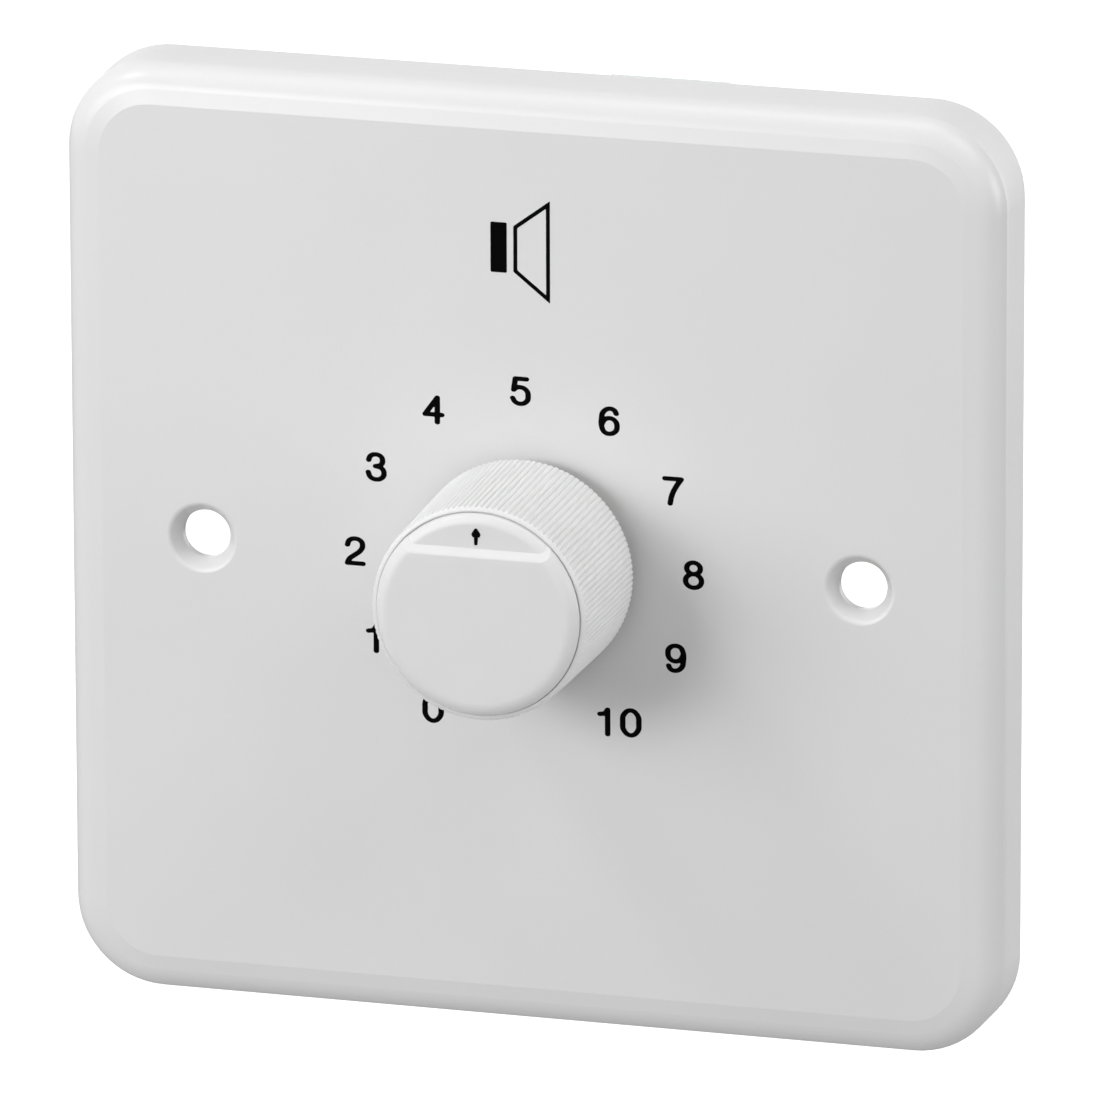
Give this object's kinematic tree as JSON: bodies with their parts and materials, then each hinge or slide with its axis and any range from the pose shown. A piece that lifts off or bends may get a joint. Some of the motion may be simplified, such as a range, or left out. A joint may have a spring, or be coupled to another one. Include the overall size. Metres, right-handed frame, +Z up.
{
  "type": "wall-plate volume control",
  "caption": "Square wall-plate volume control: ribbed knob on a rotary step switch that picks taps of a small transformer, with a screw terminal block.",
  "frame": {"origin": "centre of the plate's rear rim, on the wall's surface", "axes": "+X to the right as seen from the room, +Y into the wall along the knob's axis, +Z up"},
  "size_m": [0.086, 0.0642, 0.086],
  "materials": {
    "plate_white": "moulded white, satin gloss",
    "knob_white": "moulded white, satin gloss",
    "cap_white": "moulded white, satin",
    "brass": "turned",
    "nickel": "nickel plated",
    "steel": "ground",
    "zinc_steel": "zinc plated",
    "spring_steel": "hardened, bright",
    "switch_black": "moulded glass-filled",
    "switch_tan": "pressed laminate",
    "rotor_white": "moulded",
    "bronze": "stamped strip",
    "contact_silver": "silver-faced rivets",
    "board_green": "coated glass laminate",
    "terminal_green": "moulded",
    "terminal_metal": "nickel-plated brass",
    "core_steel": "stamped silicon steel",
    "band_steel": "zinc plated strip",
    "bobbin_nylon": "moulded nylon",
    "tinned_pin": "tinned",
    "winding_copper": "enamelled copper",
    "tape_yellow": "polyester tape"
  },
  "bodies": {
    "plate_assembly": {"faceplate": "plate_white", "bushing": "nickel", "lock_washer": "spring_steel", "bushing_nut": "nickel", "stop_ring": "zinc_steel", "switch_housing": "switch_black", "switch_base": "switch_tan", "fixed_contacts": "contact_silver", "common_contact": "contact_silver", "circuit_board": "board_green", "board_screws": "zinc_steel", "terminal_housing": "terminal_green", "terminal_bars": "terminal_metal", "core_e_plates": "core_steel", "core_i_plates": "core_steel", "core_clamp": "band_steel", "bobbin": "bobbin_nylon", "bobbin_pins": "tinned_pin", "winding": "winding_copper", "winding_tape": "tape_yellow", "winding_leads": "winding_copper"},
    "knob_assembly": {"knob_body": "knob_white", "knob_cap": "cap_white", "knob_insert": "brass", "knob_collet": "brass", "collet_nut": "brass", "spindle": "steel", "spindle_clip": "spring_steel", "switch_rotor": "rotor_white", "detent_balls": "steel", "detent_springs": "spring_steel", "wiper": "bronze"},
    "screw_1": {"clamp_screw_1": "zinc_steel"},
    "cage_1": {"clamp_cage_1": "terminal_metal"},
    "screw_2": {"clamp_screw_2": "zinc_steel"},
    "cage_2": {"clamp_cage_2": "terminal_metal"},
    "screw_3": {"clamp_screw_3": "zinc_steel"},
    "cage_3": {"clamp_cage_3": "terminal_metal"},
    "screw_4": {"clamp_screw_4": "zinc_steel"},
    "cage_4": {"clamp_cage_4": "terminal_metal"}
  },
  "joints": [
    {"name": "knob_turn", "type": "hinge", "parent": "plate_assembly", "child": "knob_assembly", "pos_m": [0, 0, 0], "axis": [0, 1, 0], "range_deg": [-150, 150]},
    {"name": "clamp_screw_1_turn", "type": "hinge", "parent": "plate_assembly", "child": "screw_1", "pos_m": [-0.00762, 0.0176, -0.027], "axis": [0, -1, 0], "range_deg": [0, 1600]},
    {"name": "clamp_cage_1_lift", "type": "slide", "parent": "plate_assembly", "child": "cage_1", "axis": [0, 1, 0], "range_m": [0, 0.002]},
    {"name": "clamp_screw_2_turn", "type": "hinge", "parent": "plate_assembly", "child": "screw_2", "pos_m": [-0.00254, 0.0176, -0.027], "axis": [0, -1, 0], "range_deg": [0, 1600]},
    {"name": "clamp_cage_2_lift", "type": "slide", "parent": "plate_assembly", "child": "cage_2", "axis": [0, 1, 0], "range_m": [0, 0.002]},
    {"name": "clamp_screw_3_turn", "type": "hinge", "parent": "plate_assembly", "child": "screw_3", "pos_m": [0.00254, 0.0176, -0.027], "axis": [0, -1, 0], "range_deg": [0, 1600]},
    {"name": "clamp_cage_3_lift", "type": "slide", "parent": "plate_assembly", "child": "cage_3", "axis": [0, 1, 0], "range_m": [0, 0.002]},
    {"name": "clamp_screw_4_turn", "type": "hinge", "parent": "plate_assembly", "child": "screw_4", "pos_m": [0.00762, 0.0176, -0.027], "axis": [0, -1, 0], "range_deg": [0, 1600]},
    {"name": "clamp_cage_4_lift", "type": "slide", "parent": "plate_assembly", "child": "cage_4", "axis": [0, 1, 0], "range_m": [0, 0.002]}
  ],
  "couplings": [
    {"joint": "clamp_screw_1_turn", "follows": "clamp_cage_1_lift", "rad_per_m": 13963},
    {"joint": "clamp_screw_2_turn", "follows": "clamp_cage_2_lift", "rad_per_m": 13963},
    {"joint": "clamp_screw_3_turn", "follows": "clamp_cage_3_lift", "rad_per_m": 13963},
    {"joint": "clamp_screw_4_turn", "follows": "clamp_cage_4_lift", "rad_per_m": 13963}
  ]
}
